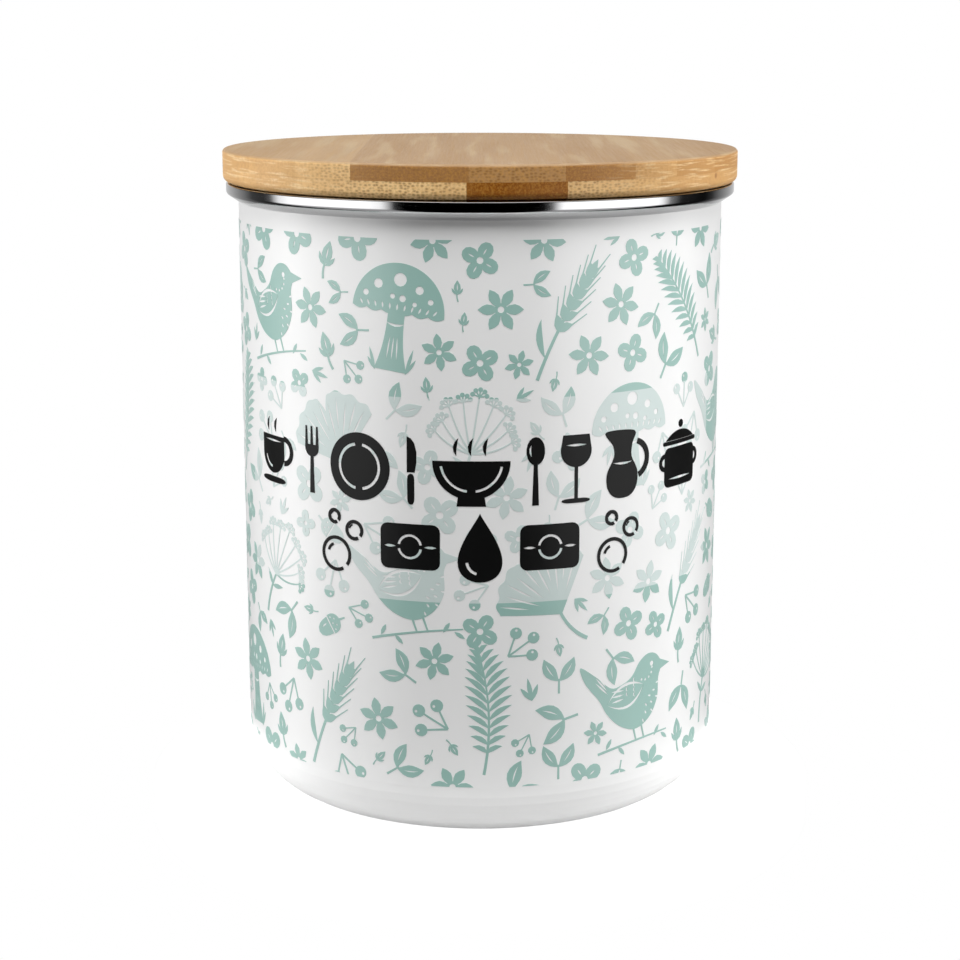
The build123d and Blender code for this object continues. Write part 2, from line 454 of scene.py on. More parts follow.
def fan_leaf(m):
    """A fan-shaped leaf on a long stalk, waved at its edge and split by its veins."""
    fork, lobes, points = at(0, -0.14 * m), 7, 60
    edge = []
    for point in range(points + 1):
        turn = -1 + 2 * point / points
        wave = 0.012 * m * cos(pi * lobes * turn)
        notch = 0.15 * m * max(0.0, 1 - abs(turn) * 9)
        edge.append(fork + toward(90 - 58 * turn, 0.52 * m - 0.05 * m * turn**2 + wave - notch))
    ink = [stalk(at(0.06 * m, -0.46 * m), fork, 0.03 * m, 0.024 * m, 0.03 * m)]
    ink.append([fork + at(0.012 * m, -0.02 * m), *edge[::-1], fork + at(-0.012 * m, -0.02 * m)])
    cut = []
    for vein in range(10):
        lean = -49.5 + 11 * vein
        first, last = (0.16, 0.44) if vein % 2 else (0.24, 0.47)
        start, end = fork + toward(90 - lean, first * m), fork + toward(90 - lean, last * m)
        cut.append(leaf(start, end, 0.014 * m))
    return ink, cut


tell(fan_leaf, 30)

# %% Toadstool


def toadstool(m):
    """A spotted cap on a stem that widens at its foot, with blades of grass."""
    brim = at(0, 0.02 * m)
    cap = arc(brim, 0.36 * m, 0, 180)
    under = [brim + at(-0.36 + 0.02 * step, -0.02 * abs(sin(pi * step / 6))) * m for step in range(1, 36)]
    stem = ribbon(at(0, -0.42 * m), brim, lambda share: m * (0.13 + 0.13 * (1 - share) ** 2.5))
    ink = [cap + under, stem]
    cut = [disc(brim + toward(heading, far * m), spot * m) for heading, far, spot in
           ((90, 0.24, 0.05), (50, 0.24, 0.032), (132, 0.25, 0.036), (72, 0.11, 0.026),
            (112, 0.12, 0.02), (24, 0.27, 0.022), (158, 0.28, 0.024), (30, 0.15, 0.018))]
    for slit in range(-5, 6):
        root = brim + at(slit * 0.055, 0.012) * m
        cut.append(leaf(root, root + toward(90 - 7 * slit, 0.05 * m), 0.016 * m))
    collar = brim + at(0, -0.08 * m)
    cut.append(leaf(collar - at(0.075, 0) * m, collar + at(0.075, 0) * m, 0.02 * m, -0.02 * m))
    for fibre in (-0.04, 0, 0.04):
        cut.append(leaf(at(fibre * m, -0.34 * m), at(0.7 * fibre * m, -0.16 * m), 0.012 * m))
    for heading, length in ((60, 0.14), (78, 0.2), (112, 0.17), (130, 0.11)):
        side = 0.12 * m if heading < 90 else -0.12 * m
        ink.append(leaf(at(side, -0.43 * m), at(side, -0.43 * m) + toward(heading, length * m), 0.026 * m))
    return ink, cut


tell(toadstool, 30)

# %% Songbird


def songbird(m):
    """A plump bird side on, with a cut wing, a spotted breast and a slit tail, on a twig."""
    m *= 0.95
    knots = ((0.3, 0.1), (0.34, 0.2), (0.28, 0.3), (0.18, 0.33), (0.08, 0.28), (0, 0.18), (-0.1, 0.13),
             (-0.22, 0.12), (-0.36, 0.24), (-0.5, 0.34), (-0.46, 0.2), (-0.34, 0.04), (-0.26, -0.1),
             (-0.14, -0.22), (0.02, -0.28), (0.18, -0.22), (0.28, -0.08))
    ink = [smooth([at(x * m, y * m) for x, y in knots])]
    ink.append([at(0.32 * m, 0.25 * m), at(0.45 * m, 0.19 * m), at(0.32 * m, 0.16 * m)])
    cut = [disc(at(0.22 * m, 0.235 * m), 0.022 * m)]
    shoulder, wing_tip = at(0.12 * m, 0.08 * m), at(-0.26 * m, -0.02 * m)
    cut.append(leaf(shoulder, wing_tip, 0.024 * m, -0.09 * m, 0.9))
    cut.append(leaf(shoulder, wing_tip, 0.024 * m, 0.1 * m, 0.9))
    for row, (first, last) in enumerate(((-50, 50), (-42, 46))):
        for scallop in range(4 - row):
            centre = shoulder + at(-0.075 - 0.075 * row, -0.062 + 0.042 * scallop + 0.02 * row) * m
            tips = [centre + toward(180 + turn, 0.03 * m) for turn in (first, last)]
            cut.append(leaf(tips[0], tips[1], 0.014 * m, -0.016 * m))
    for feather in range(3):
        start = shoulder + at(-0.21, -0.075 + 0.035 * feather) * m
        cut.append(leaf(start, start + toward(186 - 5 * feather, 0.13 * m), 0.018 * m))
        root = at(-0.25 - 0.01 * feather, 0.07 + 0.035 * feather) * m
        cut.append(leaf(root, root + toward(134 - 5 * feather, 0.17 * m), 0.016 * m))
    for row in range(3):
        for spot in range(4 - row):
            heading = -70 + 26 * spot + 13 * row
            near = at(0.02, 0.02) * m + toward(heading, (0.25 - 0.045 * row) * m)
            cut.append(drop(near, near + toward(heading, 0.035 * m), 0.018 * m))
    collar = at(0.14, 0.2) * m
    for bead in range(5):
        cut.append(disc(collar + toward(-118 + 30 * bead, 0.085 * m), 0.011 * m))
    twig_end = at(0.4 * m, -0.38 * m)
    ink.append(stalk(at(-0.36 * m, -0.42 * m), twig_end, 0.022 * m, 0.012 * m, 0.02 * m))
    for leg in (0.0, 0.09):
        ink.append(stalk(at(leg * m, -0.26 * m), at((leg + 0.03) * m, -0.385 * m), 0.018 * m, 0.014 * m))
    for x, heading in ((-0.28, 58), (0.24, 52), (0.33, -40), (-0.16, -52)):
        root = at(x * m, -0.395 * m)
        ink.append(leaf(root, root + toward(heading, 0.1 * m), 0.036 * m))
    return ink, cut


tell(songbird, 30)

# %% [markdown]
# Between the large motifs stand small ones: a bud, a pair of leaves, berries, an acorn, two kinds
# of blossom and a sprout. They are drawn like the others, but from fewer loops, since each is only
# as large as a fingernail.

# %% Buds, leaves, berries and acorns


def bud(m):
    """A closed bud on a short stalk."""
    ink = [stalk(at(0.04 * m, -0.5 * m), at(0, 0), 0.07 * m, 0.05 * m, 0.04 * m)]
    ink.append(leaf(at(0, -0.12 * m), at(0, 0.5 * m), 0.34 * m, 0, 0.85))
    cut = [leaf(at(0, 0), at(0, 0.34 * m), 0.05 * m)]
    for side in (-1, 1):
        ink.append(leaf(at(0, -0.16 * m), at(side * 0.26 * m, 0.14 * m), 0.12 * m, -side * 0.04 * m))
    return ink, cut


def leaf_pair(m):
    """Two leaves that part from one root."""
    ink = [stalk(at(0, -0.5 * m), at(0, -0.1 * m), 0.06 * m, 0.05 * m)]
    cut = []
    for side in (-1, 1):
        root, tip = at(0, -0.16 * m), at(side * 0.42 * m, 0.46 * m)
        ink.append(leaf(root, tip, 0.34 * m, -side * 0.06 * m))
        cut.append(leaf(on_bow(root, tip, -side * 0.06 * m, 0.25), on_bow(root, tip, -side * 0.06 * m, 0.8),
                        0.035 * m, -side * 0.02 * m))
    return ink, cut


def berries(m):
    """Three berries on forked stalks."""
    ink, cut = [], []
    for lean, length in ((-34, 0.62), (2, 0.78), (36, 0.6)):
        tip = at(0, -0.5 * m) + toward(90 - lean, length * m)
        ink += [stalk(at(0, -0.5 * m), tip, 0.05 * m, 0.04 * m), disc(tip, 0.15 * m)]
        cut.append(disc(tip + at(-0.05 * m, 0.05 * m), 0.035 * m))
    return ink, cut


def acorn(m):
    """An acorn in its cup."""
    ink = [arc(at(0, 0.05 * m), 0.27 * m, 0, 180) + [at(-0.27 * m, -0.02 * m), at(0.27 * m, -0.02 * m)]]
    ink.append(ribbon(at(0, -0.06 * m), at(0, -0.5 * m), lambda t: m * (0.46 * (1 - t**2.4) ** 0.5 + 0.02)))
    ink.append(stalk(at(0, 0.28 * m), at(0.04 * m, 0.5 * m), 0.07 * m, 0.05 * m))
    cut = [disc(at(x * m, (0.06 + 0.1 * (row % 2)) * m), 0.026 * m)
           for row, x in enumerate((-0.18, -0.09, 0, 0.09, 0.18))]
    cut.append(leaf(at(-0.09 * m, -0.14 * m), at(-0.07 * m, -0.34 * m), 0.05 * m))
    return ink, cut


for draw in (bud, leaf_pair, berries, acorn):
    tell(draw, 9)

# %% Blossoms and sprouts


def cress(m):
    """A small blossom with four round petals and an open middle."""
    ink = [drop(at(0, 0), toward(45 + 90 * petal, 0.5 * m), 0.42 * m) for petal in range(4)]
    cut = [disc(at(0, 0), 0.09 * m)]
    cut += [leaf(toward(45 + 90 * petal, 0.16 * m), toward(45 + 90 * petal, 0.34 * m), 0.04 * m)
            for petal in range(4)]
    return ink, cut


def blossom(m):
    """A blossom with six pointed petals round an open middle."""
    ink = [leaf(at(0, 0), toward(60 * petal + 30, 0.5 * m), 0.24 * m, 0, 1.25) for petal in range(6)]
    return ink + [disc(at(0, 0), 0.14 * m)], [disc(at(0, 0), 0.075 * m)]


def sprout(m):
    """Three short strokes that fan out."""
    return [leaf(at(0, -0.5 * m), at(0, -0.5 * m) + toward(90 - lean, length * m), 0.2 * m)
            for lean, length in ((-30, 0.75), (0, 1), (30, 0.75))], []


for draw in (cress, blossom, sprout):
    tell(draw, 9)

# %% [markdown]
# Drawn loops become faces by triangulation. Blender's constrained triangulation keeps every loop
# as an edge and says, for each triangle, which loops it lies in. A triangle is kept if it lies in
# some ink and in no cut, so overlapping ink joins up and no boolean is needed. Upright lines every
# few millimetres go in as well: they split long triangles, so that the sheet can bend round the
# wall without leaving it.

# %% Gather triangles and wrap them


class Transfer:
    """Flat triangles that are gathered for one colour and then wrapped round the wall."""

    def __init__(self):
        self.corners = []
        self.triangles = []

    def gather(self, places, triangles):
        """Take some triangles with their corners."""
        names = {}
        for triangle in triangles:
            for index in triangle:
                if index not in names:
                    names[index] = len(self.corners)
                    self.corners.append(places[index])
        self.triangles += [tuple(names[index] for index in triangle) for triangle in triangles]

    def wrap(self, name, rise, sink=0.05):
        """Bend the sheet round the wall as a thin closed solid, rise above it and sink below."""
        radius = wall_r / mm
        verts = []
        for level in (radius + rise, radius - sink):
            verts += [(level * sin(x / radius) * mm, -level * cos(x / radius) * mm, y * mm)
                      for x, y in self.corners]
        count = len(self.corners)
        sides = {}
        for a, b, c in self.triangles:
            for edge in ((a, b), (b, c), (c, a)):
                if edge[::-1] in sides:
                    del sides[edge[::-1]]
                else:
                    sides[edge] = True
        faces = list(self.triangles)
        faces += [(c + count, b + count, a + count) for a, b, c in self.triangles]
        faces += [(b, a, a + count, b + count) for a, b in sides]
        mesh = bpy.data.meshes.new(name)
        mesh.from_pydata(verts, [], faces)
        mesh.shade_smooth()
        mesh.set_sharp_from_angle(angle=radians(30))
        piece = bpy.data.objects.new(name, mesh)
        bpy.context.scene.collection.objects.link(piece)
        print(name, len(self.triangles), "triangles in the sheet,", len(mesh.polygons), "faces in all")
        return piece


girth = 2 * pi * wall_r / mm
print("once round the wall is", round(girth, 1), "mm")

# %% Lay a drawing on the flat print
from mathutils.geometry import delaunay_2d_cdt

BEND = 3.4  # width between the upright lines, in millimetres
BEND_SHIFT = 0.41  # share of that width that keeps every line off the middle of the front
LINE_REACH = 40.0  # how far the lines reach above and below a motif's middle
SAME = 1e-4  # two points of a loop closer than this are one
WELD = 1e-5  # the same for crossings found by the triangulation
INSIDE_ONLY = 1  # tells the triangulation to leave out what lies in no loop

taken = []  # places on the flat print that ink has reached


def tidy(loop):
    """The same loop counter-clockwise, which is how the triangulation tells its inside."""
    loop = [place for place, before in zip(loop, loop[-1:] + loop[:-1]) if (place - before).length > SAME]
    area = sum(before.cross(place) for place, before in zip(loop, loop[-1:] + loop[:-1]))
    return loop if area > 0 else loop[::-1]


def pane(left, right, bottom, top):
    """An upright rectangle of the flat sheet."""
    return [at(left, bottom), at(right, bottom), at(right, top), at(left, top)]


def lay(drawing, x, y, lean, sheets):
    """Place a drawing on the flat print. Each triangle goes to the last sheet whose pane holds it."""
    turn = Matrix.Rotation(radians(lean), 2)
    loops = [[turn @ spot + at(x, y) for spot in tidy(loop)] for kind in drawing for loop in kind]
    inked, drawn = len(drawing[0]), len(loops)
    left = min(spot.x for loop in loops for spot in loop)
    right = max(spot.x for loop in loops for spot in loop)
    loops += [edge for _, edge in sheets]
    corners = [spot for loop in loops for spot in loop]
    faces, first = [], 0
    for loop in loops:
        faces.append(list(range(first, first + len(loop))))
        first += len(loop)
    edges = []
    for line in range(int(left // BEND), int(right // BEND) + 1):
        edges.append((len(corners), len(corners) + 1))
        corners += [at((line + BEND_SHIFT) * BEND, height) for height in (y - LINE_REACH, y + LINE_REACH)]
    places, _, triangles, _, _, homes = delaunay_2d_cdt(corners, edges, faces, INSIDE_ONLY, WELD)
    shares = [[] for _ in sheets]
    for triangle, home in zip(triangles, homes):
        panes = [face - drawn for face in home if face >= drawn]
        in_ink = any(face < inked for face in home)
        if in_ink and panes and not any(inked <= face < drawn for face in home):
            shares[max(panes)].append(triangle)
    for (transfer, _), share in zip(sheets, shares):
        transfer.gather(places, share)
        for corners in ([places[index] for index in triangle] for triangle in share):
            taken.extend((*corners, sum(corners, at(0, 0)) / 3, corners[0].lerp(corners[1], 0.5),
                          corners[1].lerp(corners[2], 0.5), corners[2].lerp(corners[0], 0.5)))


print("upright lines every", BEND, "mm")

# %% [markdown]
# The front of the tin tells what is inside by signs instead of words: a row of things to wash up,
# and below it a drop, two tablets and some bubbles. They are stencil signs. A stencil has no loose
# middles, so every ring is open somewhere, and every cut ends before it reaches an edge. Like the
# motifs, all are drawn about their own middle, but in plain millimetres, the tallest 16 mm high.

# %% Shapes that several signs share


def hoop(centre, outer, inner, first, last):
    """Part of a ring, between two headings."""
    return arc(centre, outer, first, last) + arc(centre, inner, last, first)


def rounded(half_w, low, high, corner):
    """An upright rectangle with rounded corners."""
    spots = ((half_w, high, 0), (-half_w, high, 90), (-half_w, low, 180), (half_w, low, 270))
    loop = []
    for x, y, heading in spots:
        inward = at(-corner if x > 0 else corner, -corner if y == high else corner)
        loop += arc(at(x, y) + inward, corner, heading, heading + 90)
    return loop


def steam(x, low):
    """A wisp that rises to the top of the sign."""
    return leaf(at(x, low), at(x + 0.5, 8), 0.9, 0.6)


print("a hoop has", len(hoop(at(0, 0), 5, 4, 0, 180)), "points")

# %% Signs: what is washed up


def cup():
    """A cup on a saucer, with two wisps of steam."""
    body = [at(-7, 3.6), *arc(at(-2, -0.6), 5, 180, 360), at(3, 3.6)]
    saucer = ribbon(at(-7.4, -7.2), at(3.4, -7.2), lambda t: 1.5 * (1 - abs(2 * t - 1) ** 4) ** 0.5)
    ink = [body, saucer, hoop(at(3, 0.4), 3.6, 2.3, -92, 92), steam(-4, 4.6), steam(-0.6, 4.6)]
    return ink, [hoop(at(-2, -0.6), 3.8, 3.2, 195, 262), leaf(at(-5.8, 2.4), at(1.8, 2.4), 0.5)]


def fork():
    """A fork with three tines."""
    palm = [*arc(at(0, 2.9), 2.25, 180, 360), at(2.25, 3.6), at(-2.25, 3.6)]
    tines = [stalk(at(x, 3.2), at(x, 8), 0.95, 0.6) for x in (-1.75, 0, 1.75)]
    return [stalk(at(0, -8), at(0, 2), 1.6, 0.9), palm, *tines], []


def plate():
    """A plate from above, with the edge of its well cut open."""
    return [disc(at(0, 0), 8)], [hoop(at(0, 0), 5.6, 4.9, first, first + 160) for first in (-80, 100)]


def knife():
    """A table knife, with a gap between blade and handle."""
    blade = [at(-0.9, -0.4), at(1, -0.4), at(1.4, 2), at(1.4, 4.4), at(0.9, 6.4), at(0.1, 7.5), at(-0.9, 8)]
    return [blade, ribbon(at(0, -8), at(0, -0.7), lambda t: 1.7 * (1 - abs(2 * t - 1) ** 8) ** 0.5)], []


def bowl():
    """A bowl on a foot, with three wisps of steam."""
    ink = [arc(at(0, 2.6), 9, 180, 360), [at(-3, -5.4), at(-3.4, -8), at(3.4, -8), at(3, -5.4)]]
    ink += [steam(x, 3.8) for x in (-3.4, 0, 3.4)]
    return ink, [hoop(at(0, 2.6), 7.4, 6.8, 190, 262), hoop(at(0, 2.6), 7.4, 6.8, 278, 350)]


def spoon():
    """A spoon with a light in its scoop."""
    scoop = ribbon(at(0, 1.4), at(0, 8), lambda t: 8.8 * (t * (1 - t)) ** 0.5)
    return [stalk(at(0, -8), at(0, 2.2), 1.6, 0.9), scoop], [leaf(at(-1, 3.4), at(-1, 6.2), 0.5, 0.3)]


for draw in (cup, fork, plate, knife, bowl, spoon):
    tell(draw)

# %% Signs: glass, jug and pot


def wine_glass():
    """A wine glass, with the level of the wine cut open."""
    goblet = [at(-3.3, 8), *arc(at(0, 4.3), 3.9, 175, 365), at(3.3, 8)]
    base = ribbon(at(-3.6, -7.5), at(3.6, -7.5), lambda t: 1.1 * (1 - abs(2 * t - 1) ** 4) ** 0.5)
    stem = ribbon(at(0, -7.4), at(0, 1), lambda t: 0.9)
    return [goblet, stem, base], [leaf(at(-2.6, 5.6), at(2.6, 5.6), 0.6)]


def jug():
    """A jug with a lip at the left and a handle at the right."""
    knots = ((-6.4, 7.8), (-4.4, 4.4), (-4.2, 1.6), (-6, -2), (-5.8, -5.6), (-3.6, -7.9), (0.4, -7.9),
             (2.6, -5.6), (2.8, -2), (1, 1.6), (1.2, 4.6), (1.8, 7.6))
    cut = [leaf(at(-4.4, 0.4), at(1.2, 0.4), 0.6, -0.3)]
    return [smooth([at(x, y) for x, y in knots]), hoop(at(1.6, 0.8), 5, 3.6, -68, 76)], cut


def pot():
    """A pot with a rim, a domed lid with a knob, and a handle at each side."""
    ink = [rounded(6.4, -8, 1.6, 1.6), rounded(7, 2.2, 3.2, 0.4), disc(at(0, 7), 1)]
    ink.append(arc(at(0, -3.4), 9, 48, 132))
    ink += [hoop(at(x, -1.8), 2.2, 1.1, turn, turn + 180) for x, turn in ((-6.2, 90), (6.2, -90))]
    return ink, [leaf(at(-4.8, -6), at(4.8, -6), 0.6)]


for draw in (wine_glass, jug, pot):
    tell(draw)

# %% Signs: what washes up


def bubbles():
    """Three soap bubbles, each an open ring with a light in it."""
    ink = []
    for x, y, radius in ((-1.6, -3.6, 4.3), (3.6, 2.6, 2.5), (-2, 5.4, 1.9)):
        ink.append(hoop(at(x, y), radius, radius - 0.85, -38, 300))
        ink.append(hoop(at(x, y), 0.62 * radius, 0.46 * radius, 110, 165))
    return ink, []


def tablet():
    """A tablet with a round dimple and a seam across its middle."""
    cut = [leaf(at(side * 3.4, 0), at(side * 6.4, 0), 0.7) for side in (-1, 1)]
    cut += [hoop(at(0, 0), 3, 2.4, first, first + 160) for first in (10, 190)]
    return [rounded(7.2, -5.4, 5.4, 1.8)], cut


def water():
    """A drop of water with a light in it."""
    body = ribbon(at(0, 8.4), at(0, -8), lambda t: 29 * t**1.2 * (1 - t) ** 0.5)
    return [body], [hoop(at(0, -3), 3.4, 2.7, 185, 255)]


for draw in (bubbles, tablet, water):
    tell(draw)

# %% [markdown]
# The print repeats twice round the wall. Its large motifs stand in four rows, five to a repeat, and
# every second row is shifted by half a column, so that no upright gap runs down the tin. That
# leaves three-sided gaps, and a small motif goes into each. Sines of the row and the column push
# every motif a little off its place and tip it a little, which looks strewn but is the same each
# time. The sheet ends in a straight cut at both edges, and a window at the front is printed paler,
# because it carries the signs.

# %% Sizes and order of the print
print_low = 15.0  # millimetres above the table
print_high = 144.0
motif_size = 31.0
filler_size = 9.0
max_lean = 34.0
upright_lean = 9.0  # for what stands on the ground
max_push = 2.5
gap_share = 0.33  # share of a row between its middle and the middle of a gap
window_low, window_high = 60.0, 108.0
window_half = wall_r / mm * radians(67)  # how far the window reaches round to each side
repeats = 2
layout = (
    (fern, songbird, seed_head, toadstool, grain_ear),
    (fan_leaf, grain_ear, fern, seed_head, songbird),
    (seed_head, toadstool, songbird, fern, fan_leaf),
    (grain_ear, fern, fan_leaf, songbird, toadstool),
)
fillers = ((bud, acorn, berries), (leaf_pair, cress))  # narrow ones and wide ones

column_pitch = girth / (repeats * len(layout[0]))
row_pitch = (print_high - print_low) / len(layout)
print("a motif's place is", round(column_pitch, 1), "mm wide and", round(row_pitch, 1), "mm high")

# %% Lay the motifs
teal_sheet, pale_sheet = Transfer(), Transfer()
whole_print = pane(-girth, girth, print_low, print_high)
sheets = (
    (teal_sheet, whole_print),
    (pale_sheet, pane(-window_half, window_half, window_low, window_high)),
)
for repeat in range(repeats):
    for row, names in enumerate(layout):
        for column, draw in enumerate(names):
            beat = 2.9 * column + 1.7 * row
            x = (repeat * len(names) + column + 0.5 * (row % 2)) * column_pitch
            x -= girth * round(x / girth)
            y = print_low + (row + 0.5) * row_pitch
            lean = (upright_lean if draw in (songbird, toadstool) else max_lean) * sin(beat)
            push = at(max_push * sin(3 * beat), max_push * cos(2 * beat))
            lay(draw(motif_size), x + push.x, y + push.y, lean, sheets)
            for side in (-1, 1):
                kinds = fillers[(column + side) % len(fillers)]
                filler = kinds[row % len(kinds)]
                rise = side * (row_pitch * gap_share + sin(5 * beat))
                lay(filler(filler_size), x + column_pitch / 2, y + rise, -2 * side * lean, sheets)
print("triangles so far:", len(teal_sheet.triangles), "teal and", len(pale_sheet.triangles), "pale")

# %% [markdown]
# The rest of the print is found instead of placed. For every spot of a fine grid, a search tree
# says how far off the nearest ink is. The emptiest spot gets the largest motif that fits there, all
# spots near it learn that it is taken, and the next emptiest spot is looked for, until only narrow
# gaps are left. A person who fills up a pattern by eye does the same.

# %% Fill the gaps
from mathutils.kdtree import KDTree

spread = 1.4  # spacing of the grid, in millimetres
margin = 1.4  # left open round a motif
smallest = 2.1  # radius of the smallest gap that is filled
largest = 5.2  # radius of the largest motif that goes into one
wide = 2.9  # radius from which a gap gets a motif with fine parts
gap_lean = 170.0  # these motifs have no right way up

tree = KDTree(3 * len(taken))
for lap in (-girth, 0.0, girth):
    for spot in taken:
        tree.insert((spot.x + lap, spot.y, 0), 0)
tree.balance()
across, up = np.meshgrid(np.arange(-girth / 2, girth / 2, spread), np.arange(print_low, print_high, spread))
across, up = across.ravel(), up.ravel()
room = np.array([tree.find((x, y, 0))[2] for x, y in zip(across, up)])
found = 0
while room.max() > smallest + margin:
    index = room.argmax()
    x, y, radius = float(across[index]), float(up[index]), min(float(room[index]) - margin, largest)
    draw = (blossom, cress, leaf_pair, berries)[found % 4] if radius > wide else (sprout, bud)[found % 2]
    lay(draw(2 * radius), x, y, gap_lean * sin(1.7 * found), sheets)
    aside = np.abs(across - x)
    room = np.minimum(room, np.hypot(np.minimum(aside, girth - aside), up - y) - radius)
    found += 1
print("motifs added in gaps:", found)

# %% [markdown]
# The signs stand in two rows on the window. Each row is centred, and its signs are one gap apart,
# so a row is set as a line of type is set: from the width of each sign and one gap.

# %% Lay the signs
sign_sheet = Transfer()
upper = ((cup, 15), (fork, 4.5), (plate, 16), (knife, 3), (bowl, 18), (spoon, 4.5), (wine_glass, 8),
         (jug, 13), (pot, 17))
lower = ((bubbles, 12), (tablet, 14.4), (water, 9.3), (tablet, 14.4), (bubbles, 12))
for row, height, gap in ((upper, 91.0, 3.6), (lower, 73.0, 4.6)):
    x = -(sum(width for _, width in row) + gap * (len(row) - 1)) / 2
    for sign, width in row:
        lay(sign(), x + width / 2, height, 0, [(sign_sheet, whole_print)])
        x += width + gap
    print("a row of", len(row), "signs reaches", round(x - gap), "mm to each side")

# %% [markdown]
# Now all three sheets are wrapped. Real ink stands about a hundredth of a millimetre above the
# enamel. Here it stands a little higher, because the wall and the sheets are both made of flats,
# and the wall must never show through. The signs are printed last, so they lie on the pattern.

# %% Wrap all three sheets
PATTERN_RISE = 0.05
SIGN_RISE = 0.08

teal_print = teal_sheet.wrap("teal_pattern", PATTERN_RISE)
pale_print = pale_sheet.wrap("pale_pattern", PATTERN_RISE)
for piece, node, slot in ((teal_print, "teal_print", "teal_ink"), (pale_print, "pale_print", "pale_ink")):
    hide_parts(node)
    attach(piece, "can")
dish_signs = sign_sheet.wrap("dish_signs", SIGN_RISE)
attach(dish_signs, "can")

# %% [markdown]
# A finish is a material, and a material is a tree of nodes that ends in one shader. These helpers
# keep such trees short to write. Every pattern starts from object coordinates, which are metres in
# the piece's own space: a bamboo fibre then has its real width, whatever the camera does, and the
# pattern travels with the lid when it is lifted.

# %% Helpers for node trees


class Finish:
    """One material's node tree, with short ways to add nodes and join them."""

    def __init__(self, name, **constants):
        self.material = bpy.data.materials.new(name)
        self.material.use_nodes = True
        self.nodes = self.material.node_tree.nodes
        self.links = self.material.node_tree.links
        self.shader = self.nodes["Principled BSDF"]
        for socket, value in constants.items():
            self.shader.inputs[socket.replace("_", " ")].default_value = value
        self.place = self.add("ShaderNodeTexCoord").outputs["Object"]
        print("finish:", name)

    def add(self, kind, inputs=None, **settings):
        """A new node, with values or links for its inputs."""
        node = self.nodes.new(kind)
        for name, value in settings.items():
            setattr(node, name, value)
        for socket, value in (inputs or {}).items():
            if isinstance(value, bpy.types.NodeSocket):
                self.links.new(value, node.inputs[socket])
            else:
                node.inputs[socket].default_value = value
        return node

    def stretched(self, x, y, z):
        """The piece's coordinates in metres, multiplied along each axis."""
        return self.add("ShaderNodeMapping", {"Vector": self.place, "Scale": (x, y, z)}).outputs[0]

    def noise(self, vector, scale, detail=3.0, roughness=0.5):
        """Soft random grey from 0 to 1."""
        inputs = {"Vector": vector, "Scale": scale, "Detail": detail, "Roughness": roughness}
        return self.add("ShaderNodeTexNoise", inputs).outputs["Fac"]

    def math(self, operation, a, b=0.0):
        """One sum on two numbers."""
        return self.add("ShaderNodeMath", {0: a, 1: b}, operation=operation).outputs[0]

    def span(self, value, low, high, to_low=0.0, to_high=1.0):
        """Stretch the range from low to high onto another one."""
        inputs = {"Value": value, "From Min": low, "From Max": high, "To Min": to_low, "To Max": to_high}
        return self.add("ShaderNodeMapRange", inputs).outputs[0]

    def mix(self, share, a, b):
        """A colour between a and b."""
        return self.add("ShaderNodeMix", {0: share, 6: a, 7: b}, data_type="RGBA").outputs[2]

    def steps(self, value, stops, smooth=False):
        """A colour ramp through (position, colour) stops."""
        node = self.add("ShaderNodeValToRGB", {"Fac": value})
        ramp = node.color_ramp
        ramp.interpolation = "LINEAR" if smooth else "CONSTANT"
        while len(ramp.elements) < len(stops):
            ramp.elements.new(1.0)
        for element, (position, colour) in zip(ramp.elements, stops):
            element.position = position
            element.color = colour
        return node.outputs["Color"]

    def feed(self, socket, value):
        """Join a value to one of the shader's inputs."""
        self.links.new(value, self.shader.inputs[socket])

    def bump(self, height, distance, strength=1.0):
        """Raise the surface by a height from 0 to 1 times a distance."""
        inputs = {"Height": height, "Distance": distance, "Strength": strength}
        self.feed("Normal", self.add("ShaderNodeBump", inputs).outputs[0])


def rgb(red, green, blue):
    """A colour with full cover."""
    return (red, green, blue, 1.0)


# %% [markdown]
# Enamel is glass fused to steel. Its colour lies below a clear, hard skin, so it is a white base
# under a glossy surface. It flowed while it was hot: it is never perfectly level, and a slow wave
# about a hundredth of a millimetre deep is what makes its reflections look fired.

# %% Enamel


def enamel(name, colour, other, gloss=0.5):
    """Fired enamel or ink: a colour that drifts a little, under a glossy skin."""
    finish = Finish(name, IOR=1.6, Specular_IOR_Level=gloss, Coat_Weight=2 * gloss, Coat_IOR=1.6,
                    Coat_Roughness=0.28)
    cloud = finish.noise(finish.place, 60.0, 4.0)
    finish.feed("Base Color", finish.mix(cloud, colour, other))
    finish.feed("Roughness", finish.span(finish.noise(finish.place, 900.0), 0.3, 0.7, 0.3, 0.36))
    finish.bump(finish.noise(finish.place, 110.0, 1.0), 0.012 * mm)
    return finish.material


white_enamel = enamel("white enamel", rgb(0.89, 0.89, 0.885), rgb(0.865, 0.865, 0.86))
teal_ink = enamel("teal ink", rgb(0.325, 0.525, 0.475), rgb(0.305, 0.5, 0.45))
pale_ink = enamel("pale ink", rgb(0.62, 0.715, 0.695), rgb(0.6, 0.695, 0.675))
black_ink = enamel("black ink", rgb(0.004, 0.004, 0.004), rgb(0.007, 0.007, 0.007), 0.1)
for piece, finish in ((can, white_enamel), (teal_print, teal_ink), (pale_print, pale_ink),
                      (dish_signs, black_ink)):
    piece.data.materials.append(finish)

# %% [markdown]
# Polished steel is a mirror with a grey tint. What makes it steel and not glass is the polish: fine
# lines that run round the band, because it was polished while it turned.

# %% Polished steel
steel = Finish("polished steel", Metallic=1.0, Roughness=0.07, Base_Color=rgb(0.78, 0.78, 0.79))
polish_lines = steel.noise(steel.stretched(300.0, 300.0, 9000.0), 1.0, 2.0)
steel.feed("Roughness", steel.span(polish_lines, 0.3, 0.7, 0.05, 0.11))
steel.bump(polish_lines, 0.002 * mm)
band.data.materials.append(steel.material)

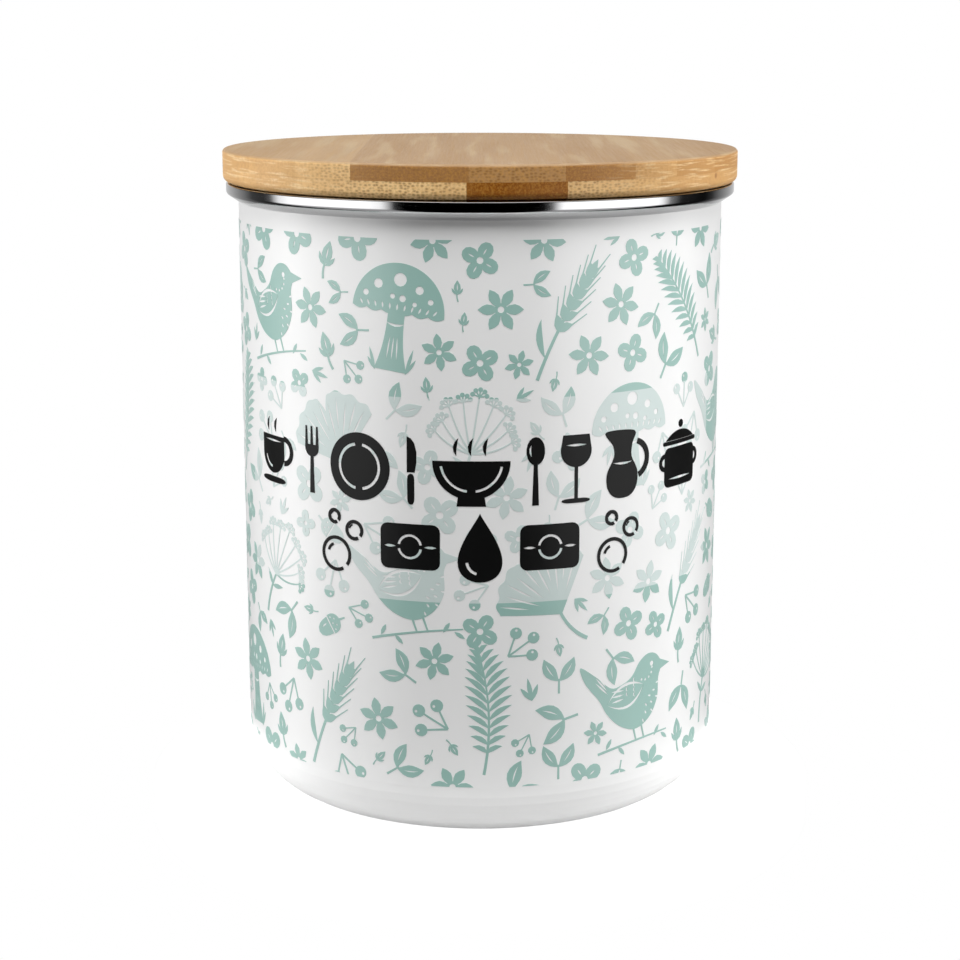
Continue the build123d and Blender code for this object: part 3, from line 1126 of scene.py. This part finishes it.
# %% [markdown]
# Silicone lets light in and spreads it, so it gets a little subsurface scattering and a dull,
# slightly dusty surface.

# %% Silicone
silicone = Finish("white silicone", Roughness=0.45, Subsurface_Weight=0.6, Subsurface_Scale=1.5 * mm,
                  Subsurface_Radius=(1.0, 1.0, 1.0))
dust = silicone.noise(silicone.place, 700.0, 5.0)
silicone.feed("Base Color", silicone.mix(dust, rgb(0.82, 0.82, 0.8), rgb(0.7, 0.7, 0.68)))
silicone.bump(dust, 0.01 * mm)
seal.data.materials.append(silicone.material)

# %% [markdown]
# A bamboo board is glued up from strips that all run one way, here from front to back. So the rim
# of a round board shows two things: long grain where it faces sideways, and cut fibre ends, which
# are darker and full of pores, where it faces front or back. One solid texture gives both. Noise
# that is stretched along Y draws lines on the top and dots on the ends, just as fibres do. The
# object-space normal says how much of a face is cut across the grain.

# %% Bamboo: strips and joints
bamboo = Finish("oiled bamboo", IOR=1.5, Specular_IOR_Level=0.3)
where = bamboo.add("ShaderNodeSeparateXYZ", {"Vector": bamboo.place}).outputs
facing = bamboo.add("ShaderNodeTexCoord").outputs["Normal"]
level = bamboo.add("ShaderNodeVectorMath", {0: facing, 1: (1, 1, 0)}, operation="MULTIPLY").outputs[0]
level = bamboo.add("ShaderNodeVectorMath", {0: level}, operation="NORMALIZE").outputs[0]
level = bamboo.add("ShaderNodeSeparateXYZ", {"Vector": level}).outputs
cut_ends = bamboo.span(bamboo.math("ABSOLUTE", level["Y"]), 0.72, 0.93)
on_top = bamboo.span(bamboo.add("ShaderNodeSeparateXYZ", {"Vector": facing}).outputs["Z"], 0.2, 0.7)
ply_joint = (board_low + board_top) / 2
ply_half = 64.0  # half the width of a ply, in millimetres


def strips(*ply):
    """The tone of each strip of a ply, from its left edge in millimetres."""
    stops = [((left + ply_half) / (2 * ply_half), rgb(tone, tone, tone)) for left, tone in ply]
    return bamboo.steps(bamboo.span(where["X"], -ply_half * mm, ply_half * mm), stops)


upper_ply = strips((-64, 0.6), (-54, 0.75), (-42, 1.0), (-29.2, 0.18), (-2.9, 0.3), (19, 0.12),
                   (34.9, 0.45), (45, 0.15), (55, 0.0))
lower_ply = strips((-64, 0.65), (-57, 0.8), (-42, 1.0), (-3.3, 0.0), (19.2, 0.75), (41, 0.45), (60, 0.3))
in_upper = bamboo.math("GREATER_THAN", where["Z"], ply_joint)
tone = bamboo.mix(in_upper, lower_ply, upper_ply)
print("the plies meet", round((ply_joint - board_low) / mm, 2), "mm above the underside")

# %% [markdown]
# All bamboo is made of the same fibres. Seen from the side they are fine lines, with lighter
# streaks where they lie less dense. Seen from their ends they are specks, with open pores between
# them, which a pale strip shows best. Long grain and ends are coloured apart and mixed by how much
# of the face is cut across. The top is sanded, so its grain is only a haze. Its colour is also
# painted much darker than the sides: painted shade that offsets the strong light from above.

# %% Bamboo: fibres and pores
cloud = bamboo.noise(bamboo.stretched(90.0, 14.0, 160.0), 1.0, 4.0)
fibres = bamboo.noise(bamboo.stretched(2200.0, 45.0, 1500.0), 1.0, 3.0, 0.6)
streaks = bamboo.span(bamboo.noise(bamboo.stretched(230.0, 16.0, 2200.0), 1.0, 2.0), 0.52, 0.66)
cells = {"Vector": bamboo.stretched(1000.0, 30.0, 1500.0), "Scale": 1.0, "Randomness": 0.6}
pores = bamboo.span(bamboo.add("ShaderNodeTexVoronoi", cells).outputs["Distance"], 0.1, 0.55, 1.0, 0.0)
grit = bamboo.noise(bamboo.stretched(2400.0, 120.0, 2200.0), 1.0, 2.0, 0.7)
print("nodes so far:", len(bamboo.nodes))

# %% Bamboo: colours
long_grain = bamboo.mix(tone, rgb(0.47, 0.24, 0.075), rgb(0.79, 0.5, 0.22))
long_grain = bamboo.mix(bamboo.math("MULTIPLY", streaks, 0.7), long_grain, rgb(0.92, 0.72, 0.42))
long_grain = bamboo.mix(bamboo.span(fibres, 0.35, 0.6, 0.3, 0.0), long_grain, rgb(0.42, 0.2, 0.06))
ends = bamboo.mix(tone, rgb(0.2, 0.055, 0.001), rgb(0.9, 0.63, 0.31))
ends = bamboo.mix(bamboo.span(grit, 0.42, 0.62, 0.0, 0.35), ends, rgb(0.62, 0.31, 0.06))
pore_depth = bamboo.math("MULTIPLY", pores, bamboo.span(tone, 0.15, 0.3, 0.3, 0.72))
ends = bamboo.mix(pore_depth, ends, rgb(0.2, 0.09, 0.025))
side = bamboo.mix(cut_ends, long_grain, ends)
side = bamboo.mix(bamboo.span(cloud, 0.3, 0.7, 0.28, 0.0), side, rgb(0.4, 0.2, 0.06))
# painted shade: the top's colour is kept much darker than the sides, to offset the strong light from above
sanded_top_with_painted_shade = bamboo.mix(bamboo.span(cloud, 0.35, 0.65), rgb(0.295, 0.203, 0.124), rgb(0.337, 0.243, 0.157))
coloured = bamboo.mix(on_top, side, bamboo.mix(0.23, sanded_top_with_painted_shade, long_grain))
glue = bamboo.math("ABSOLUTE", bamboo.math("SUBTRACT", where["Z"], ply_joint))
coloured = bamboo.mix(bamboo.span(glue, 0.04 * mm, 0.2 * mm, 0.15, 0.0), coloured, rgb(0.3, 0.14, 0.04))
print("nodes so far:", len(bamboo.nodes))

# %% Bamboo: a knot, and the surface
knot = (55.5 * mm, -31.5 * mm, board_low + 3.1 * mm)
from_knot = {0: bamboo.place, 1: knot}
from_knot = bamboo.add("ShaderNodeVectorMath", from_knot, operation="DISTANCE").outputs["Value"]
coloured = bamboo.mix(bamboo.span(from_knot, 0.3 * mm, 0.9 * mm, 0.8, 0.0), coloured, rgb(0.28, 0.12, 0.04))
bamboo.feed("Base Color", coloured)
bamboo.feed("Roughness", bamboo.span(fibres, 0.3, 0.7, 0.38, 0.52))
bamboo.bump(bamboo.math("SUBTRACT", fibres, bamboo.math("MULTIPLY", pores, 0.6)), 0.03 * mm, 0.6)
lid.data.materials.append(bamboo.material)
print("nodes in the bamboo:", len(bamboo.nodes))

# %% [markdown]
# The studio is a round screen that the polished band mirrors: black in front, bright to the left
# and right, dark again behind the bright parts, and grey at the back. A convex mirror turns twice
# as fast as its surface does, so a short part of the band shows a long part of the screen. The
# screen goes down below the table but glows fully only above it, which leaves a grey line under
# the band's bright parts. The screen also lights the enamel: its dark front leaves the middle of
# the can a little darker than its sides, so that the can reads as round.

# %% A screen round the tin
SCREEN_R = 0.95  # metres
SCREEN_LOW, SCREEN_HIGH = -0.7, 0.9


def round_screen(low, high, tones, belt):
    """A screen with a dark floor, as bright as its tone at an azimuth, times the belt's at a height."""
    verts = []
    for spoke in range(SPOKES):
        azimuth = 2 * pi * spoke / SPOKES
        verts += [(SCREEN_R * sin(azimuth), -SCREEN_R * cos(azimuth), height) for height in (low, high)]
    count = len(verts)
    mesh = bpy.data.meshes.new("screen")
    faces = [(v, v + 1, (v + 3) % count, (v + 2) % count) for v in range(0, count, 2)]
    mesh.from_pydata(verts, [], [*faces, range(0, count, 2)])
    screen = bpy.data.objects.new("screen", mesh)
    screen.visible_camera = False
    bpy.context.scene.collection.objects.link(screen)
    cloth = Finish("screen cloth", Roughness=1.0, Base_Color=rgb(0, 0, 0), Specular_IOR_Level=0.0)
    cloth.shader.inputs["Emission Color"].default_value = rgb(1.0, 1.0, 1.0)
    spot = cloth.add("ShaderNodeSeparateXYZ", {"Vector": cloth.place}).outputs
    azimuth = cloth.math("ARCTAN2", spot["X"], cloth.math("MULTIPLY", spot["Y"], -1.0))
    brightest = max(glow for _, glow in tones)
    stops = [((degree + 180) / 360, rgb(*3 * [glow / brightest])) for degree, glow in tones]
    shade = cloth.steps(cloth.span(azimuth, -pi, pi), stops, smooth=True)
    rungs = [((z - low) / (high - low), rgb(glow, glow, glow)) for z, glow in belt]
    shade = cloth.math("MULTIPLY", shade, cloth.steps(cloth.span(spot["Z"], low, high), rungs, smooth=True))
    cloth.feed("Emission Strength", cloth.math("MULTIPLY", shade, brightest))
    mesh.materials.append(cloth.material)
    print("screen with", len(tones), "tones")


back_left = ((-180, 0.9), (-165, 0.63), (-145, 0.42), (-127, 0.18), (-119, 0.05), (-108, 0.03), (-103, 0.1))
left = ((-97, 1.0), (-88, 1.4), (-50, 1.4), (-42, 1.1))
front = ((-36.5, 0.02), (-33, 0.0), (27, 0.0), (30.5, 0.1))
right = ((35, 1.3), (45, 1.5), (80, 1.5), (85, 1.1))
back_right = ((90, 0.2), (97, 0.015), (116, 0.003), (123, 0.03), (130, 0.14), (149, 0.42), (180, 0.9))
belt = ((SCREEN_LOW, 0.25), (-0.3, 0.3), (0.0, 1.0), (0.3, 1.0), (0.4, 0.0))
round_screen(SCREEN_LOW, SCREEN_HIGH, back_left + left + front + right + back_right, belt)

# %% [markdown]
# The enamel needs softer light than that. Two softboxes stand a little behind the tin, at its left
# and right, and brighten its sides. A third one, high in front, lights the middle, where the band
# throws a soft shadow on the wall. They would put hard bright bars into the polished band, so
# mirrors don't see them: a photographer would hold a black card between lamp and band for that.

# %% Softboxes
AIM = Vector((0, 0, 0.07))  # near the middle of the tin


def softbox(name, azimuth, elevation, distance, width, height, radiance):
    """A rectangular lamp aimed at the tin, with angles in degrees and the brightness of its face."""
    lamp = bpy.data.lights.new(name, "AREA")
    lamp.shape = "RECTANGLE"
    lamp.size = width
    lamp.size_y = height
    lamp.energy = radiance * pi * width * height
    box = bpy.data.objects.new(name, lamp)
    azimuth, elevation = radians(azimuth), radians(elevation)
    out = Vector((sin(azimuth) * cos(elevation), -cos(azimuth) * cos(elevation), sin(elevation)))
    box.location = AIM + out * distance
    box.rotation_euler = (-out).to_track_quat("-Z", "Y").to_euler()
    box.visible_camera = False
    box.visible_glossy = False
    bpy.context.scene.collection.objects.link(box)
    print(name, "at", [round(v, 2) for v in box.location])


softbox("left softbox", azimuth=-109, elevation=0, distance=0.92, width=0.7, height=0.8, radiance=7.8)
softbox("right softbox", azimuth=108, elevation=0, distance=0.92, width=0.7, height=0.8, radiance=7.8)
softbox("front softbox", azimuth=5, elevation=63, distance=1.1, width=1.0, height=0.6, radiance=8.3)

# %% [markdown]
# The background and the table are white in the picture, but they mustn't light the tin as a white
# room would. A Light Path node tells what kind of ray asks: the camera, a mirror and glass get one
# answer, and all other rays get a darker one. So the world is white where it is seen and a dim fill
# light elsewhere. The table is a small disc that is white where it is seen, and keeps the tin's
# shadow. In mirrors it glows less, so that the foot doesn't melt into it.

# %% What a ray sees


def seen(tree, mirrored):
    """1 for a ray from the camera, less for one that a mirror or glass sends on, and 0 for all others."""
    path = tree.nodes.new("ShaderNodeLightPath").outputs
    steps = (("MAXIMUM", path["Is Glossy Ray"], path["Is Transmission Ray"]), ("MULTIPLY", mirrored),
             ("MAXIMUM", path["Is Camera Ray"]))
    answer = None
    for operation, *values in steps:
        node = tree.nodes.new("ShaderNodeMath")
        node.operation = operation
        for socket, value in zip(node.inputs, ([answer] if answer else []) + values):
            if isinstance(value, float):
                socket.default_value = value
            else:
                tree.links.new(value, socket)
        answer = node.outputs[0]
    return answer


# %% World
FILL_LIGHT = 0.36

world = bpy.data.worlds.new("studio air")
bpy.context.scene.world = world
world.use_nodes = True
air = world.node_tree
glow = air.nodes.new("ShaderNodeMapRange")
glow.inputs["To Min"].default_value = FILL_LIGHT
glow.inputs["To Max"].default_value = 1.0
air.links.new(seen(air, 1.0), glow.inputs["Value"])
air.links.new(glow.outputs[0], air.nodes["Background"].inputs["Strength"])
air.nodes["Background"].inputs["Color"].default_value = rgb(1.0, 1.0, 1.0)
print("world:", world.name, "with fill light", FILL_LIGHT)

# %% Table
TABLE_R, TABLE_T = 0.085, 0.01  # metres
TABLE_MIRRORED = 0.4  # how bright a mirror shows it

table_line = [Vector((0, 0)), Vector((TABLE_R, 0)), Vector((TABLE_R, -TABLE_T)), Vector((0, -TABLE_T))]
table = turn_on_lathe("table", table_line)
table_top = Finish("pale table", Roughness=0.9, Base_Color=rgb(0.55, 0.55, 0.55))
table_top.shader.inputs["Emission Color"].default_value = rgb(1.0, 1.0, 1.0)
table_top.feed("Emission Strength", seen(table_top.material.node_tree, TABLE_MIRRORED))
table.data.materials.append(table_top.material)

# %% [markdown]
# The camera stands where the photographer's stood: half a metre away and a little above the lid,
# so that the top shows as a thin ellipse. The place and the lens come from fitting the outline of
# the can, the band and the lid to the sizes of the frame.

# %% Camera
CAMERA_AWAY, CAMERA_UP = 0.5374, 0.1938  # metres in front of the tin's axis and above the table
CAMERA_DIP = 12.351  # how far it looks down, in degrees
LENS = 80.2  # millimetres, on a sensor 36 mm wide

camera = bpy.data.objects.new("camera", bpy.data.cameras.new("camera"))
bpy.context.scene.collection.objects.link(camera)
camera.location = (0, -CAMERA_AWAY, CAMERA_UP)
camera.rotation_euler = (radians(90 - CAMERA_DIP), 0, 0)
camera.data.sensor_width = 36.0
camera.data.lens = LENS
bpy.context.scene.camera = camera
bpy.context.scene.view_settings.view_transform = "Standard"
print("camera", round(camera.location.length, 3), "m from the tin's foot")
